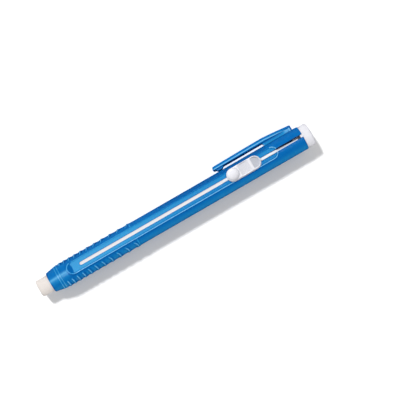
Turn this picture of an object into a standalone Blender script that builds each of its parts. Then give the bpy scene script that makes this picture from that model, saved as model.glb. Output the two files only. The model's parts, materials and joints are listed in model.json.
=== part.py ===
"""Pen-type stick eraser: a slotted barrel with a sprung clip, an end cap, and a thumb slide on a
carriage that grips a replaceable eraser stick.

blender --background --python part.py

The pieces are drawn in the pen's own directions, in millimetres: x along the pen from the nose
face, y from its axis towards the clip, and z from its axis out of the slot. An empty then lays the
pen down as it comes to rest on a table: rolled about X until the clip touches too, with the part's
origin at the middle of the bottom of its box.
"""

import math

import bmesh
import bpy
from mathutils import Vector

MM = 0.001
EMBED = 0.6  # how far a joined shape reaches into its neighbour
BEYOND = 5.0  # how far a cutter reaches past what it cuts
SIDES = 32  # facets round the barrel and its bore

# barrel
BARREL_R = 4.8
BARREL_END = 112.4
NOSE_R = 4.0
NOSE_EDGE = 0.25
CONE_END = 4.1
NOSE_BORE_R = 3.5
NOSE_BORE_LENGTH = 6.0
BORE_R = 4.05
BORE_CEILING = 3.5  # the bore's flat top, under the pocket's floor

# grip ribs on both flanks, further apart towards the rear
RIB_COUNT = 11
RIB_FIRST = 6.39
RIB_PITCH = 2.005
RIB_PITCH_STEP = 0.225
RIB_HALF_WIDTH = 0.6
RIB_HEIGHT = 0.22
RIB_SPAN = (45.0, 140.0)  # degrees from the slot where a rib starts and ends
RIB_FADE = 15.0  # degrees over which it rises or falls

# pocket and slot
POCKET_FLOOR = 3.85
POCKET_HALF_WIDTH = 2.45
POCKET_FRONT = 10.0
POCKET_REAR = 101.2
POCKET_RAMP = 2.3  # length of the sloping front end
SLOT_FRONT = 13.1
SLOT_HALF_WIDTH = 0.715

# clip
CLIP_FRONT = 76.0
CLIP_SPLIT = (97.9, 98.2)  # rear of the free arm, front of the web
CLIP_REAR = 110.2
CLIP_HALF_WIDTH = 1.7
CLIP_CHAMFER = 0.4
CLIP_INNER = 6.13
CLIP_TOP = ((77.0, 7.34), (88.0, 7.53), (98.9, 7.63), (109.7, 6.6))  # x, y along the outer side
WEB_HALF_WIDTH = 1.1
FOOT_REACH = 5.05
FOOT = (77.7, 79.4)

# end cap
CAP_R = 4.65
CAP_FRONT = 112.6
CAP_CORNER_START = 115.1
CAP_END = 116.0
CAP_FLAT_R = 2.2  # flat middle of the slightly domed end
CAP_DOME = 0.35
PLUG_R = 3.85
PLUG_BORE_R = 2.9
PLUG_FRONT = 108.6
PLUG_TOP = 3.3
PLUG_BOTTOM_OF_BORE = 114.6
TONGUE_FRONT = 111.5
TONGUE_TOP = 4.55

# eraser
ERASER_R = 3.4
ERASER_TIP = -5.0
ERASER_END = 84.0
ERASER_EDGE = 0.35

# carriage
CARRIAGE_R = 3.9
CARRIAGE_TOP = 3.35
JAW_INNER_R = 3.5
JAW_TOP = 1.8
CARRIAGE_FRONT = 76.4
BLOCK = (84.3, 92.0)
TAIL_END = 107.2
KEY_END = 109.8
KEY_HALF_WIDTH = 0.55
KEY_BOTTOM = 2.6
FINGER_BOTTOM = 3.5
KEY_TOP = 3.75
KEY_SLOPE = (98.0, 3.2)  # where the rear key starts to fall away, and its height at its end
WEB_HALF_THICKNESS = 0.5
POSTS = ((85.2, 86.8), (89.6, 91.2))
POST_TOP = 5.0

# thumb slide
SLIDE_FRONT = 79.3
SLIDE_REAR = 94.0
SLIDE_HALF_WIDTH = 2.65
SLIDE_UNDERSIDE = 4.3
SLIDE_RIM = 5.85
SKID = (81.0, 92.4)
SKID_HALF_WIDTH = 2.0
SKID_UNDERSIDE = 4.1
DOME_R = 2.45
DOME_TOP = 6.55
DISH = (84.9, 89.4)
DISH_FLOOR = 5.35
SCOOP = (90.4, 93.5)
SCOOP_FLOOR = 5.3
HOLLOW_HALF_WIDTH = 2.2
POST_ROOM = 0.12

# how the pen lies: on a facet of its back, with its clip's chamfered edge just clear of the table
DEPTH = BARREL_R * math.cos(math.pi / SIDES)  # from the pen's axis to the middle of a facet
CLIP_CLEARANCE = 0.02
CLIP_HIGHEST = max(y for _, y in CLIP_TOP)
RESTING_EDGE = (CLIP_HIGHEST - CLIP_CHAMFER, CLIP_HALF_WIDTH)
ROLL = math.asin((DEPTH - CLIP_CLEARANCE) / math.hypot(*RESTING_EDGE))
ROLL -= math.atan2(*RESTING_EDGE[::-1])
OUTERMOST = CLIP_HIGHEST * math.cos(ROLL) + (CLIP_HALF_WIDTH - CLIP_CHAMFER) * math.sin(ROLL)
INNERMOST = BARREL_R + RIB_HEIGHT
PEN_PLACE = (-(ERASER_TIP + CAP_END) / 2, (INNERMOST - OUTERMOST) / 2, DEPTH)
FACET = 360.0 / SIDES
FACET_TURN = (180.0 - math.degrees(ROLL) - FACET / 2) % FACET  # puts a facet flat on the table
HINGE = (CLIP_SPLIT[0], (CLIP_INNER + CLIP_HIGHEST) / 2, 0.0)

# name: colour, roughness
MATERIALS = {
    "blue_plastic": ((0.0, 0.13, 0.45), 0.22),
    "white_plastic": ((0.78, 0.79, 0.84), 0.3),
    "cool_white_plastic": ((0.8, 0.82, 0.87), 0.35),
    "eraser_vinyl": ((0.82, 0.78, 0.74), 0.6),
}


def clear_scene():
    for obj in list(bpy.data.objects):
        bpy.data.objects.remove(obj, do_unlink=True)


def make_material(name):
    colour, roughness = MATERIALS[name]
    material = bpy.data.materials.new(name)
    material.use_nodes = True
    shader = material.node_tree.nodes["Principled BSDF"]
    shader.inputs["Base Color"].default_value = (*colour, 1.0)
    shader.inputs["Roughness"].default_value = roughness
    return material


def make_pen_axis():
    """The empty that every piece hangs on: the pen's axis at the nose face, laid down on a table."""
    pen = bpy.data.objects.new("pen_axis", None)
    bpy.context.collection.objects.link(pen)
    pen.location = Vector(PEN_PLACE) * MM
    pen.rotation_euler = (-ROLL, 0.0, 0.0)


def finish(bm, name, material=None, origin=(0.0, 0.0, 0.0)):
    """Turns a body drawn in millimetres into an object whose own origin is at the given point."""
    bmesh.ops.translate(bm, verts=bm.verts, vec=-Vector(origin))
    bmesh.ops.scale(bm, verts=bm.verts, vec=(MM, MM, MM))
    bmesh.ops.recalc_face_normals(bm, faces=bm.faces)
    mesh = bpy.data.meshes.new(name)
    bm.to_mesh(mesh)
    bm.free()
    obj = bpy.data.objects.new(name, mesh)
    bpy.context.collection.objects.link(obj)
    obj.parent = bpy.data.objects["pen_axis"]
    obj.location = Vector(origin) * MM
    if material is not None:
        mesh.materials.append(make_material(material))
        mesh.shade_smooth()
        mesh.set_sharp_from_angle(angle=math.radians(30))
    return obj


def combine(obj, operation, bm):
    """Joins a body to an object, or cuts it away, with a Boolean on a hidden helper."""
    helper = finish(bm, f"{obj.name}_{operation.lower()}_{len(obj.modifiers)}")
    helper.hide_render = True
    helper.display_type = "WIRE"
    modifier = obj.modifiers.new(helper.name, "BOOLEAN")
    modifier.operation = operation
    modifier.object = helper


def prism(outline, axis, low, high):
    """A straight body: the outline's points, in the two directions left, pushed along an axis."""
    bm = bmesh.new()
    ends = []
    for level in (low, high):
        points = [(*point[:axis], level, *point[axis:]) for point in outline]
        ends.append([bm.verts.new(point) for point in points])
    bm.faces.new(ends[0])
    bm.faces.new(ends[1][::-1])
    for i in range(len(outline)):
        bm.faces.new((ends[0][i - 1], ends[0][i], ends[1][i], ends[1][i - 1]))
    return bm


def block(x, y, z):
    """A straight-sided block between pairs of coordinates."""
    return prism([(x[0], y[0]), (x[1], y[0]), (x[1], y[1]), (x[0], y[1])], 2, *z)


def arc(centre, radius, start, end, steps):
    """Points of an arc, in degrees from the first direction of the plane towards the second."""
    turn = math.radians(end - start) / steps
    angles = [math.radians(start) + turn * i for i in range(steps + 1)]
    return [(centre[0] + radius * math.cos(a), centre[1] + radius * math.sin(a)) for a in angles]


def tube_of_rings(rings, sides, first=0.0):
    """A closed body along X through rings of (x, radius), the radius a number or an angle's rule.

    The angle is in degrees from +Z, towards +Y, and each ring's points start at the first one.
    """
    bm = bmesh.new()
    loops = []
    for x, radius in rings:
        loop = []
        for i in range(sides):
            degrees = first + 360.0 * i / sides
            r = radius(degrees) if callable(radius) else radius
            angle = math.radians(degrees)
            loop.append(bm.verts.new((x, r * math.sin(angle), r * math.cos(angle))))
        loops.append(loop)
    bm.faces.new(loops[0][::-1])
    bm.faces.new(loops[-1])
    for first, second in zip(loops, loops[1:]):
        for i in range(sides):
            bm.faces.new((first[i - 1], first[i], second[i], second[i - 1]))
    return bm


def flat_topped_circle(radius, top, steps):
    """The outline, in Y and Z, of a circle with a flat top."""
    edge = math.degrees(math.asin(top / radius))
    return arc((0.0, 0.0), radius, 180.0 - edge, 360.0 + edge, steps)


def stadium(x, half_width, steps, round_front=True, round_rear=True):
    """The outline, in X and Y, of a long shape with round or square ends."""
    ends = []
    for centre, start, is_round in ((x[1], -90.0, round_rear), (x[0], 90.0, round_front)):
        inward = -1 if start < 0 else 1
        if is_round:
            middle = (centre + inward * half_width, 0.0)
            ends += arc(middle, half_width, start, start + 180.0, steps)
        else:
            ends += [(centre, inward * half_width), (centre, -inward * half_width)]
    return ends


def rib_places():
    """The middle of each grip rib along X."""
    steps = range(RIB_COUNT)
    return [RIB_FIRST + RIB_PITCH * i + RIB_PITCH_STEP * i * (i - 1) / 2 for i in steps]


def rib_radius(degrees):
    """The radius of a rib's crest, which fades out towards the pocket and towards the back."""
    from_slot = min(degrees, 360.0 - degrees)
    inside = min(from_slot - RIB_SPAN[0], RIB_SPAN[1] - from_slot)
    return BARREL_R + RIB_HEIGHT * min(max(inside / RIB_FADE, 0.0), 1.0)


def barrel_body():
    rings = [(0.0, NOSE_R - NOSE_EDGE), (NOSE_EDGE, NOSE_R), (CONE_END, BARREL_R)]
    for x in rib_places():
        rings += [(x - RIB_HALF_WIDTH, BARREL_R), (x, rib_radius), (x + RIB_HALF_WIDTH, BARREL_R)]
    return tube_of_rings([*rings, (BARREL_END, BARREL_R)], SIDES, FACET_TURN)


def pocket_cutter():
    """The pocket's long round-ended space, with a slope down to its floor at the nose end."""
    outline = stadium((POCKET_FRONT - POCKET_RAMP, POCKET_REAR), POCKET_HALF_WIDTH, 12)
    bm = prism(outline, 2, POCKET_FLOOR, BARREL_R + BEYOND)
    parts = [*bm.verts, *bm.edges, *bm.faces]
    crease = (POCKET_FRONT, 0.0, 0.0)
    bmesh.ops.bisect_plane(bm, geom=parts, plane_co=crease, plane_no=(1.0, 0.0, 0.0))
    slope = (BARREL_R - POCKET_FLOOR) / POCKET_RAMP
    for vert in bm.verts:
        if vert.co.z < BARREL_R:
            vert.co.z += slope * max(POCKET_FRONT - vert.co.x, 0.0)
    return bm


def make_barrel():
    barrel = finish(barrel_body(), "barrel", "blue_plastic")
    combine(barrel, "UNION", clip_strap(CLIP_SPLIT[1], CLIP_REAR, CLIP_INNER))
    web = [(CLIP_SPLIT[1], BARREL_R - EMBED), (CLIP_REAR, BARREL_R - EMBED)]
    web += [(CLIP_REAR - 0.1, CLIP_TOP[3][1] - EMBED), (CLIP_SPLIT[1], CLIP_INNER + EMBED)]
    combine(barrel, "UNION", prism(web, 2, -WEB_HALF_WIDTH, WEB_HALF_WIDTH))
    bore = flat_topped_circle(BORE_R, BORE_CEILING, SIDES - 8)
    combine(barrel, "DIFFERENCE", prism(bore, 0, NOSE_BORE_LENGTH, BARREL_END + BEYOND))
    nose_bore = [(-BEYOND, NOSE_BORE_R), (NOSE_BORE_LENGTH + 1.0, NOSE_BORE_R)]
    combine(barrel, "DIFFERENCE", tube_of_rings(nose_bore, SIDES))
    combine(barrel, "DIFFERENCE", pocket_cutter())
    slot = stadium((SLOT_FRONT, BARREL_END + BEYOND), SLOT_HALF_WIDTH, 8, round_rear=False)
    combine(barrel, "DIFFERENCE", prism(slot, 2, BORE_CEILING - 1.0, BARREL_R + BEYOND))


def clip_strap(front, rear, inner):
    """The strap between two places along X: flat inside, and gently bowed along its outer side."""
    top = [(x, y) for x, y in CLIP_TOP if front < x < rear]
    if front > CLIP_FRONT:
        top = [(front, CLIP_HIGHEST), *top]
    if rear < CLIP_REAR:
        top = [*top, (rear, CLIP_HIGHEST)]
        nose = arc((front + 0.55, inner + 0.55), 0.55, 270.0, 180.0, 3)
        outline = [*nose, *top, (rear, inner)]
    else:
        lowest = BARREL_R - EMBED
        outline = [(front, inner), *top, (rear, CLIP_TOP[3][1] - 0.6), (rear, lowest)]
        outline += [(rear - 1.4, lowest), (rear - 1.4, inner - 0.8)]
    bm = prism(outline, 2, -CLIP_HALF_WIDTH, CLIP_HALF_WIDTH)
    edges = [edge for edge in bm.edges if runs_along_outer_side(edge)]
    bmesh.ops.bevel(bm, geom=edges, offset=CLIP_CHAMFER, segments=1, affect="EDGES")
    return bm


def runs_along_outer_side(edge):
    first, second = (vert.co for vert in edge.verts)
    lowest = min(y for _, y in CLIP_TOP) - 0.01
    return first.z == second.z and min(first.y, second.y) > lowest


def make_pocket_clip():
    arm = clip_strap(CLIP_FRONT, CLIP_SPLIT[0], CLIP_INNER)
    clip = finish(arm, "pocket_clip", "blue_plastic", HINGE)
    base = CLIP_INNER + EMBED
    foot = [(FOOT[0] - 0.7, base), (FOOT[0], FOOT_REACH), (FOOT[1], FOOT_REACH)]
    foot += [(FOOT[1] + 1.1, base)]
    combine(clip, "UNION", prism(foot, 2, 0.2 - CLIP_HALF_WIDTH, CLIP_HALF_WIDTH - 0.2))


def make_end_cap():
    rings = [(CAP_FRONT, CAP_R), (CAP_CORNER_START, CAP_R)]
    corner = CAP_END - CAP_DOME - CAP_CORNER_START
    rings += [(CAP_CORNER_START + corner * 0.7, CAP_R - corner * 0.35)]
    rings += [(CAP_END - CAP_DOME, CAP_R - corner), (CAP_END, CAP_FLAT_R)]
    cap = finish(tube_of_rings(rings, SIDES), "end_cap", "white_plastic")
    plug = flat_topped_circle(PLUG_R, PLUG_TOP, 32)
    combine(cap, "UNION", prism(plug, 0, PLUG_FRONT, CAP_FRONT + EMBED))
    tongue = block(
        (TONGUE_FRONT, CAP_FRONT + EMBED),
        (-KEY_HALF_WIDTH, KEY_HALF_WIDTH),
        (PLUG_TOP - EMBED / 2, TONGUE_TOP),
    )
    combine(cap, "UNION", tongue)
    bore = [(PLUG_FRONT - BEYOND, PLUG_BORE_R), (PLUG_BOTTOM_OF_BORE, PLUG_BORE_R)]
    combine(cap, "DIFFERENCE", tube_of_rings(bore, 32))
    notch_half_width = KEY_HALF_WIDTH + 0.3
    notch = block(
        (PLUG_FRONT - BEYOND, TONGUE_FRONT - 0.01),
        (-notch_half_width, notch_half_width),
        (PLUG_BORE_R / 2, PLUG_TOP + 1.0),
    )
    combine(cap, "DIFFERENCE", notch)


def make_eraser_stick():
    rings = [(ERASER_TIP, ERASER_R - ERASER_EDGE), (ERASER_TIP + ERASER_EDGE, ERASER_R)]
    finish(tube_of_rings([*rings, (ERASER_END, ERASER_R)], 40), "eraser_stick", "eraser_vinyl")


def make_eraser_carriage():
    edge = math.degrees(math.asin(JAW_TOP / CARRIAGE_R))
    jaws = arc((0.0, 0.0), CARRIAGE_R, 180.0 - edge, 360.0 + edge, 28)
    jaws += arc((0.0, 0.0), JAW_INNER_R, 360.0 + edge, 180.0 - edge, 28)
    body = prism(jaws, 0, CARRIAGE_FRONT, BLOCK[0] + EMBED)
    carriage = finish(body, "eraser_carriage", "cool_white_plastic")
    solid = flat_topped_circle(CARRIAGE_R, CARRIAGE_TOP, 36)
    combine(carriage, "UNION", prism(solid, 0, *BLOCK))
    key = (-KEY_HALF_WIDTH, KEY_HALF_WIDTH)
    finger = block((CARRIAGE_FRONT, BLOCK[0] + EMBED), key, (FINGER_BOTTOM, KEY_TOP))
    combine(carriage, "UNION", finger)
    rear_key = [(BLOCK[0] + EMBED / 2, KEY_BOTTOM), (KEY_END, KEY_BOTTOM), (KEY_END, KEY_SLOPE[1])]
    rear_key += [(KEY_SLOPE[0], KEY_TOP), (BLOCK[0] + EMBED / 2, KEY_TOP)]
    combine(carriage, "UNION", prism(rear_key, 1, *key))
    half = WEB_HALF_THICKNESS
    tail = (BLOCK[1] - EMBED, TAIL_END)
    reach = CARRIAGE_R - 0.1
    combine(carriage, "UNION", block(tail, (-half, half), (-reach, KEY_BOTTOM + EMBED)))
    combine(carriage, "UNION", block(tail, (-reach, reach), (-half, half)))
    for post in POSTS:
        combine(carriage, "UNION", block(post, key, (KEY_BOTTOM + 1.0, POST_TOP)))


def dome_body():
    """A low dome on a short round base, turned about Z."""
    centre = (SLIDE_FRONT + SLIDE_HALF_WIDTH, 0.0)
    base = SLIDE_UNDERSIDE + 0.4
    shoulder = SLIDE_RIM - 0.35
    rise = DOME_TOP - shoulder
    bm = bmesh.new()
    rings = [(base, DOME_R)]
    for angle in (0.0, 0.35, 0.7, 1.05, 1.35):
        rings.append((shoulder + rise * math.sin(angle), DOME_R * math.cos(angle)))
    loops = []
    for z, radius in rings:
        points = arc(centre, radius, 0.0, 345.0, 23)
        loops.append([bm.verts.new((x, y, z)) for x, y in points])
    for first, second in zip(loops, loops[1:]):
        for i in range(len(first)):
            bm.faces.new((first[i - 1], first[i], second[i], second[i - 1]))
    bm.faces.new(loops[0][::-1])
    bm.faces.new(loops[-1])
    return bm


def hollow(x, floor, steps=6):
    """A cutter with a round bottom that runs down to a floor half way between two places."""
    middle = (x[0] + x[1]) / 2
    half = (x[1] - x[0]) / 2
    rise = SLIDE_RIM + 0.1 - floor
    places = [2.0 * i / steps - 1.0 for i in range(steps + 1)]
    outline = [(middle + half * place, floor + rise * place**2) for place in places]
    top = SLIDE_RIM + BEYOND
    return prism([*outline, (x[1], top), (x[0], top)], 1, -HOLLOW_HALF_WIDTH, HOLLOW_HALF_WIDTH)


def make_thumb_slide():
    outline = stadium((SLIDE_FRONT, SLIDE_REAR), SLIDE_HALF_WIDTH, 12)
    slide = finish(prism(outline, 2, SLIDE_UNDERSIDE, SLIDE_RIM), "thumb_slide", "white_plastic")
    skid = stadium(SKID, SKID_HALF_WIDTH, 8)
    combine(slide, "UNION", prism(skid, 2, SKID_UNDERSIDE, SLIDE_UNDERSIDE + EMBED))
    combine(slide, "DIFFERENCE", hollow(DISH, DISH_FLOOR))
    combine(slide, "DIFFERENCE", hollow(SCOOP, SCOOP_FLOOR))
    combine(slide, "UNION", dome_body())
    width = KEY_HALF_WIDTH + POST_ROOM
    for front, rear in POSTS:
        room = block(
            (front - POST_ROOM, rear + POST_ROOM),
            (-width, width),
            (SKID_UNDERSIDE - 1.0, POST_TOP + POST_ROOM),
        )
        combine(slide, "DIFFERENCE", room)


def main():
    clear_scene()
    make_pen_axis()
    make_barrel()
    make_pocket_clip()
    make_end_cap()
    make_eraser_stick()
    make_eraser_carriage()
    make_thumb_slide()


main()
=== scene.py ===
"""Looks of the pen-type stick eraser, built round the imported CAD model.

The pieces are drawn in the pen's own directions, in millimetres: x along the pen from the nose
face, y from its axis towards the clip, and z from its axis out of the slot. One matrix, found from
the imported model, puts them in place.
"""

import json
import math

import bmesh
import bpy
from mathutils import Matrix, Vector


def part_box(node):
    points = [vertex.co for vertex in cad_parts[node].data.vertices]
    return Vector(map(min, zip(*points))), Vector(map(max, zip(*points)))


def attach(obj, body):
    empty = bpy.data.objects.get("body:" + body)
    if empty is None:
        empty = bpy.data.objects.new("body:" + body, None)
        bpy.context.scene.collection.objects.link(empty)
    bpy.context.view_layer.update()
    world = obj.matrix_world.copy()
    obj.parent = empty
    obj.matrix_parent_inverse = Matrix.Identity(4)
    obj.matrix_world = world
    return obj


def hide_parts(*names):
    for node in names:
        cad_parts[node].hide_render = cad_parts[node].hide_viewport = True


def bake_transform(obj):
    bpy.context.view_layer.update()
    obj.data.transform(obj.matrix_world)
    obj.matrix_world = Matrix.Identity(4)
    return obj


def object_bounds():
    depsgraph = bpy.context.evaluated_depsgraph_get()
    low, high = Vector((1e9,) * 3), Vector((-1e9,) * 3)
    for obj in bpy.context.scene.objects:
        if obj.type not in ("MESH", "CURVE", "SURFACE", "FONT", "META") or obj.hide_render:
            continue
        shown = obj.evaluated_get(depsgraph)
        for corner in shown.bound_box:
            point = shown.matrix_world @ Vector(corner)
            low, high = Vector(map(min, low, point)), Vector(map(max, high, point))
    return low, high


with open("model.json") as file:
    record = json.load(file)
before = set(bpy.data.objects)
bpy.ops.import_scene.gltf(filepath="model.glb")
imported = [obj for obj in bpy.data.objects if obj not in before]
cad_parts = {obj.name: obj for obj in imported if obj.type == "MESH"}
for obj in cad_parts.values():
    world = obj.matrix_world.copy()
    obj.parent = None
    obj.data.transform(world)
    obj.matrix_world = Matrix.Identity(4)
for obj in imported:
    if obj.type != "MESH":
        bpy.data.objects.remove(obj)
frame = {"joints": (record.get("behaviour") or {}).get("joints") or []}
CAD_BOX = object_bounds()

MM = 0.001

# barrel
BARREL_R = 4.8
BARREL_END = 112.4
NOSE_R = 4.0
CONE_END = 4.3
NOSE_LIP = 0.13
REAR_LIP = 0.2
RINGS = ((0.07, 3.8, 0.13), (0.16, 4.85, 0.2), (0.07, 37.3, 0.16))  # height, place and width
NOSE_BORE_R = 3.5
NOSE_BORE_END = 6.0
BORE_R = 4.05
BORE_CEILING = 3.5

# grip ribs; degrees are counted round the barrel from the slot
GRIP = (4.9, 39.0)
RIB_HEIGHT = 0.33
RIB_PLACES = [6.39 + 2.005 * i + 0.1125 * i * (i - 1) for i in range(11)]
RIB_START = 42.0
RIB_MIDDLE = 72.0
RIB_END = 142.0
RIB_RISE = 5.0  # degrees in which a rib reaches its height
RIB_FALL = 12.0  # degrees in which it dies away
RIB_SWEEP = (0.42, 0.046)  # how far a rib's upper end leans to the nose: at the first, and more per mm
RIB_TAIL = 0.8  # how far its lower end leans, as a share of that
RIB_CREST = 0.2
RIB_SKIRTS = (0.5, 1.0)  # widths of a rib's slopes, in front and behind

# pocket and slot
POCKET_FLOOR = 3.85
POCKET_HALF_WIDTH = 2.45
FLOOR_HALF_WIDTH = 1.95
POCKET_ENDS = (8.05, 101.2)
RAMP_TOP = 8.2
RAMP_END = 10.35
RAMP_HOLLOW = 0.35
RIM = (0.035, POCKET_HALF_WIDTH + 0.07, 0.13)  # height, place and width
SLOT_FRONT = 13.45
SLOT_HALF_WIDTH = 0.655
SLOT_CHAMFER = 0.05
SLOT_START = SLOT_FRONT + SLOT_HALF_WIDTH  # where the slot has its full width
WARP_START = 12.0  # from here the rows of points bend towards the slot's round front

# clip
CLIP_FRONT = 76.0
CLIP_MIDDLE = 90.0
CLIP_REAR = 110.4
CLIP_HALF_WIDTH = 1.7
CLIP_INNER = 5.86
CLIP_TOP = ((76.0, 7.44), (88.0, 7.66), (94.0, 7.74), (98.9, 7.76), (105.0, 7.25), (109.9, 6.75))
CLIP_NOSE = 0.65
CLIP_TAPER = 0.38  # how much narrower the strap's front end is, as a share
STRAP_CORNER = 0.55
REAR_CORNERS = (0.5, 0.25)  # down from the top, and in from the sides
WEB_FRONT = 97.7
WEB_FILLET = (-0.1, 0.45)  # from WEB_FRONT
WEB_ROOT = 4.45
WEB_HALF_WIDTH = 1.1
WEB_CORNER = 0.15
END_WALL = 109.05
END_WALL_HALF_WIDTH = 1.6
FOOT_RISE = (76.95, 77.75)
FOOT_FALL = (80.5, 79.35)
FOOT_UNDERSIDE = 5.05
FOOT_HALF_WIDTH = 1.45

# end cap
CAP_FRONT = 112.45
CAP_END = 116.25
CAP_R = 4.65
CAP_CORNER = 0.95
CAP_CROWN = 0.3
PLUG_FRONT = 108.6
PLUG_R = 3.85
PLUG_BORE_R = 2.9
PLUG_TOP = 3.3
PLUG_NOTCH = 0.85  # half the gap that the carriage's key runs in

# eraser
ERASER_R = 3.4
ERASER_TIP = -5.1
ERASER_END = 84.0
TIP_CORNER = 0.38

# thumb slide
SLIDE = (79.05, 93.75)
SLIDE_HALF_WIDTH = 2.65
SLIDE_CENTRES = (SLIDE[0] + SLIDE_HALF_WIDTH, SLIDE[1] - SLIDE_HALF_WIDTH)  # of its round ends
SLIDE_UNDERSIDE = 4.3
SLIDE_RIM = 5.85
SLIDE_CORNER = 0.42
DOME_CENTRE = SLIDE_CENTRES[0] + 0.1
DOME_R = 2.52
DOME_TOP = 6.7
DISH = (84.65, 89.15)
DISH_DEPTH = 0.5
RIDGE_HEIGHT = 0.07
RIDGE_PITCH = 0.56
SCOOP = (90.15, 93.25)
SCOOP_DEPTH = 0.15
SCOOP_SLOPE = 0.27
SKID = (81.0, 92.4)
SKID_HALF_WIDTH = 2.0

# carriage
CARRIAGE_R = 3.9
JAWS = (76.4, 84.6)
JAW_BORE_R = 3.5
JAW_TOP = 1.8
BLOCK = (84.3, 92.0)
BLOCK_TOP = 3.35
GROOVES = (86.3, 88.15, 90.0)
GROOVE_DEPTH = 0.16
POSTS = ((85.2, 86.8), (89.6, 91.2))
TAIL = (91.4, 107.2)
KEY = (84.7, 110.2)
KEY_TAPER_START = 98.0
KEY_HALF_WIDTH = 0.55
KEY_UNDERSIDE = 2.6
KEY_TOP = 3.75
KEY_CORNER = 0.1


def smoothstep(low, high, value):
    """0 at low and 1 at high, eased; low may be the larger."""
    share = min(max((value - low) / (high - low), 0.0), 1.0)
    return share * share * (3.0 - 2.0 * share)


def bump(value, centre, width):
    return math.exp(-(((value - centre) / width) ** 2))


def bumps(value, *terms):
    """The sum of bumps, each given as its height, centre and width."""
    return sum(height * bump(value, centre, width) for height, centre, width in terms)


def corner_drop(depth, radius):
    """How far a rounded corner lies below its face at a depth in from its side."""
    inside = max(0.0, radius - depth)
    return radius - math.sqrt(max(0.0, radius * radius - inside * inside))


def spaced(low, high, step):
    """Places about a step apart from low up to high, which is left out."""
    count = max(1, round((high - low) / step))
    return [low + (high - low) * i / count for i in range(count)]


def quarter(steps):
    """Angles from 0 to a quarter turn."""
    return [math.pi / 2 * i / steps for i in range(steps + 1)]


def pen_matrix():
    """From the pen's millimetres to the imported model's metres."""
    lo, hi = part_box("eraser_stick")
    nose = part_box("barrel")[0].x
    flex = next(joint for joint in frame["joints"] if joint["name"] == "clip_flex")
    out_of_slot = -Vector(flex["axis"]).normalized()
    along = Vector((1.0, 0.0, 0.0))
    to_clip = out_of_slot.cross(along)
    turn = Matrix((along, to_clip, out_of_slot)).transposed().to_4x4()
    place = Matrix.Translation((nose, (lo.y + hi.y) / 2, (lo.z + hi.z) / 2))
    return place @ turn @ Matrix.Scale(MM, 4)


PEN = pen_matrix()


def at(x, y, z):
    return PEN @ Vector((x, y, z))


def make_object(bm, name, material, smooth_angle=35.0):
    """A mesh drawn in the pen's millimetres becomes an object in the row frame.

    Each vertex keeps its pen coordinates in the attribute "pen", which the materials read.
    """
    bmesh.ops.remove_doubles(bm, verts=bm.verts, dist=1e-4)
    bmesh.ops.recalc_face_normals(bm, faces=bm.faces)
    mesh = bpy.data.meshes.new(name)
    bm.to_mesh(mesh)
    bm.free()
    pen = mesh.attributes.new("pen", "FLOAT_VECTOR", "POINT")
    for vert in mesh.vertices:
        pen.data[vert.index].vector = vert.co
    mesh.transform(PEN)
    mesh.materials.append(material)
    mesh.shade_smooth()
    mesh.set_sharp_from_angle(angle=math.radians(smooth_angle))
    obj = bpy.data.objects.new(name, mesh)
    bpy.context.scene.collection.objects.link(obj)
    return obj


def add_tint(obj, rule):
    """A number at each vertex, from its pen coordinates."""
    mesh = obj.data
    tint = mesh.attributes.new("tint", "FLOAT", "POINT")
    pen = mesh.attributes["pen"]
    for vert in mesh.vertices:
        tint.data[vert.index].value = rule(*pen.data[vert.index].vector)


def skin(bm, rows):
    """Faces between neighbouring closed rows of points, and each row's vertices."""
    loops = [[bm.verts.new(point) for point in row] for row in rows]
    for first, second in zip(loops, loops[1:]):
        for i in range(len(first)):
            bm.faces.new((first[i - 1], first[i], second[i], second[i - 1]))
    return loops


def add_body(bm, rows):
    """A closed body through rows of points."""
    loops = skin(bm, rows)
    bm.faces.new(loops[0][::-1])
    bm.faces.new(loops[-1])


def lathe(bm, profile, sides):
    """A closed body along X through rings of (x, radius)."""
    angles = [2.0 * math.pi * i / sides for i in range(sides)]
    add_body(bm, [[(x, radius * math.sin(a), radius * math.cos(a)) for a in angles] for x, radius in profile])


def soft_block(bm, x, y, z, soft=0.12):
    """A block between two corners with rounded edges."""
    made = bmesh.ops.create_cube(bm, size=1.0)["verts"]
    size = [high - low for low, high in (x, y, z)]
    middle = [(high + low) / 2 for low, high in (x, y, z)]
    bmesh.ops.scale(bm, verts=made, vec=size)
    bmesh.ops.translate(bm, verts=made, vec=middle)
    edges = {edge for vert in made for edge in vert.link_edges}
    bmesh.ops.bevel(bm, geom=list(edges), offset=soft, segments=2, affect="EDGES", profile=0.5)


# ---------------------------------------------------------------- materials


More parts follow.
